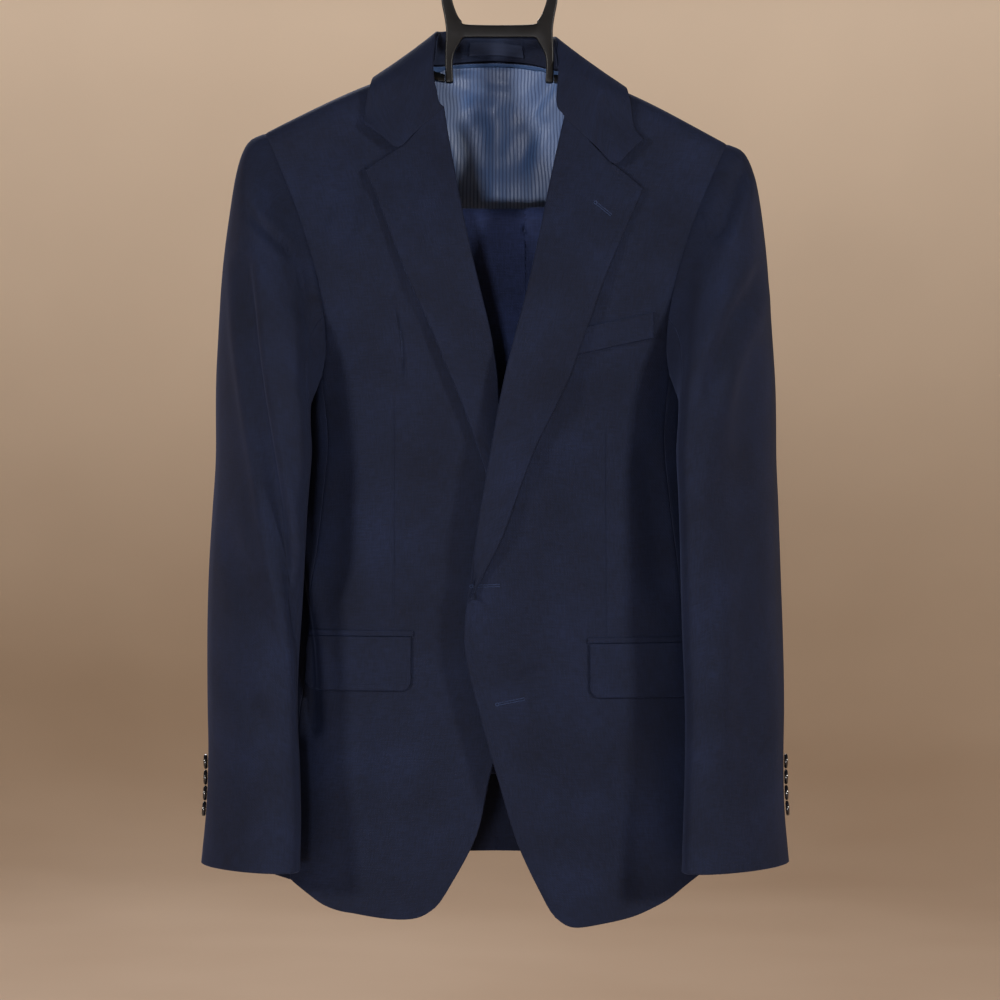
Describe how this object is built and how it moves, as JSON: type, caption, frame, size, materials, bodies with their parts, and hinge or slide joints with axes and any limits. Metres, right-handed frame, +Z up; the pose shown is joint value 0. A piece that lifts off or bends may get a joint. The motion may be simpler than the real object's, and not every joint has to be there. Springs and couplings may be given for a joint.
{
  "type": "two-piece suit on a coat hanger",
  "caption": "A hung two-piece suit: an open notch-lapel jacket with the trousers folded over the bar of a plain moulded coat hanger.",
  "frame": {"origin": "the point inside the top of the hanger's hook that rests on the rail", "axes": "+Z up, +X towards the wearer's left, +Y towards the wearer's back; the rail runs along Y"},
  "size_m": [0.5187, 0.184, 0.9101],
  "materials": {
    "jacket_worsted": "navy worsted wool, fine plain twill, matt with a soft sheen",
    "trouser_worsted": "the same navy worsted, pressed flat",
    "satin_lining": "blue satin lining with fine woven stripes",
    "woven_label": "blank dark woven tape",
    "horn_button": "dark polished horn-look resin",
    "hanger_plastic": "black moulded plastic, satin gloss"
  },
  "bodies": {
    "root": {"back_left": "jacket_worsted", "back_lining": "satin_lining", "back_right": "jacket_worsted", "chest_welt": "jacket_worsted", "collar_fall": "jacket_worsted", "collar_stand": "jacket_worsted", "cuff_button_left_1": "horn_button", "cuff_button_left_2": "horn_button", "cuff_button_left_3": "horn_button", "cuff_button_left_4": "horn_button", "cuff_button_right_1": "horn_button", "cuff_button_right_2": "horn_button", "cuff_button_right_3": "horn_button", "cuff_button_right_4": "horn_button", "front_button_lower": "horn_button", "front_button_upper": "horn_button", "front_left": "jacket_worsted", "front_right": "jacket_worsted", "hanger_hook": "hanger_plastic", "hanger_neck": "hanger_plastic", "hanger_shoulder_left": "hanger_plastic", "hanger_shoulder_right": "hanger_plastic", "lapel_left": "jacket_worsted", "lapel_right": "jacket_worsted", "neck_label": "woven_label", "pocket_flap_left": "jacket_worsted", "pocket_flap_right": "jacket_worsted", "pocket_jetting_left": "jacket_worsted", "pocket_jetting_right": "jacket_worsted", "side_panel_left": "jacket_worsted", "side_panel_right": "jacket_worsted", "sleeve_top_left": "jacket_worsted", "sleeve_top_right": "jacket_worsted", "sleeve_under_left": "jacket_worsted", "sleeve_under_right": "jacket_worsted", "trouser_bar": "hanger_plastic", "trouser_left_back": "trouser_worsted", "trouser_left_front": "trouser_worsted", "trouser_right_back": "trouser_worsted", "trouser_right_front": "trouser_worsted", "waistband": "trouser_worsted"}
  },
  "joints": []
}
